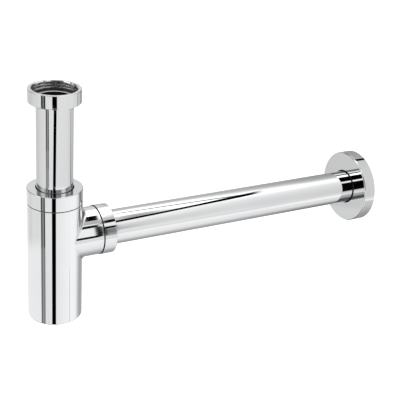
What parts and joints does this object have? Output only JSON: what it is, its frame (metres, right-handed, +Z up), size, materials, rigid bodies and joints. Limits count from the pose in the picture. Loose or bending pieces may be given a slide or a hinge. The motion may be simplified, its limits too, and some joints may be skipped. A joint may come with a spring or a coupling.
{
  "type": "bottle trap",
  "caption": "Chromed bottle trap for a basin waste: dip tube in a round bottle, compression nuts, telescopic side outlet tube and a sliding wall flange.",
  "frame": {"origin": "on the inlet axis, at the first crest of the inlet nut's thread, where the waste's tail meets the washer", "axes": "+Z up the inlet axis, towards the basin; +X along the outlet tube, towards the wall"},
  "size_m": [0.3645, 0.0712, 0.2148],
  "materials": {
    "chrome": "bright polished chrome plate on brass",
    "nylon": "natural nylon",
    "black_nylon": "black nylon",
    "rubber": "black EPDM"
  },
  "bodies": {
    "inlet_pipe": {"inlet_tube": "chrome", "inlet_washer": "rubber"},
    "inlet_slip": {"inlet_slip_ring": "nylon"},
    "inlet_nut": {"inlet_nut": "chrome"},
    "cap_seal": {"cap_seal": "rubber"},
    "bottle": {"bottle_body": "chrome"},
    "cap_ring": {"cap_friction_ring": "black_nylon"},
    "cap_nut": {"cap_nut": "chrome"},
    "outlet_ring": {"outlet_friction_ring": "black_nylon"},
    "outlet_nut": {"outlet_nut": "chrome"},
    "outlet_seal": {"outlet_seal": "rubber"},
    "outlet_pipe": {"outlet_tube": "chrome"},
    "flange_ring": {"flange_o_ring": "rubber"},
    "wall_flange": {"wall_flange": "chrome"}
  },
  "joints": [
    {"name": "inlet_nut_slide", "type": "slide", "parent": "inlet_pipe", "child": "inlet_slip", "axis": [0, 0, 1], "range_m": [-0.075, 0]},
    {"name": "inlet_nut_turn", "type": "hinge", "parent": "inlet_slip", "child": "inlet_nut", "pos_m": [0, 0, 0], "axis": [0, 0, 1], "continuous": true},
    {"name": "height_slide", "type": "slide", "parent": "inlet_pipe", "child": "cap_seal", "axis": [0, 0, 1], "range_m": [-0.04, 0.008]},
    {"name": "bottle_swivel", "type": "hinge", "parent": "cap_seal", "child": "bottle", "pos_m": [0, 0, -0.0905], "axis": [0, 0, 1], "continuous": true},
    {"name": "cap_nut_travel", "type": "slide", "parent": "bottle", "child": "cap_ring", "axis": [0, 0, 1], "range_m": [0, 0.006]},
    {"name": "cap_nut_turn", "type": "hinge", "parent": "cap_ring", "child": "cap_nut", "pos_m": [0, 0, -0.0905], "axis": [0, 0, 1], "range_deg": [0, 1440]},
    {"name": "outlet_nut_travel", "type": "slide", "parent": "bottle", "child": "outlet_ring", "axis": [1, 0, 0], "range_m": [0, 0.00693]},
    {"name": "outlet_nut_turn", "type": "hinge", "parent": "outlet_ring", "child": "outlet_nut", "pos_m": [0.045, 0, -0.1322], "axis": [1, 0, 0], "range_deg": [0, 1080]},
    {"name": "outlet_swivel", "type": "hinge", "parent": "bottle", "child": "outlet_seal", "pos_m": [0.045, 0, -0.1322], "axis": [1, 0, 0], "continuous": true},
    {"name": "outlet_slide", "type": "slide", "parent": "outlet_seal", "child": "outlet_pipe", "axis": [1, 0, 0], "range_m": [-0.01, 0.01]},
    {"name": "flange_slide", "type": "slide", "parent": "outlet_pipe", "child": "flange_ring", "axis": [1, 0, 0], "range_m": [-0.25, 0.01]},
    {"name": "flange_turn", "type": "hinge", "parent": "flange_ring", "child": "wall_flange", "pos_m": [0.3171, 0, -0.1322], "axis": [1, 0, 0], "continuous": true}
  ],
  "couplings": [
    {"joint": "cap_nut_travel", "follows": "cap_nut_turn", "m_per_rad": 0.00023873},
    {"joint": "outlet_nut_travel", "follows": "outlet_nut_turn", "m_per_rad": 0.00036749}
  ]
}
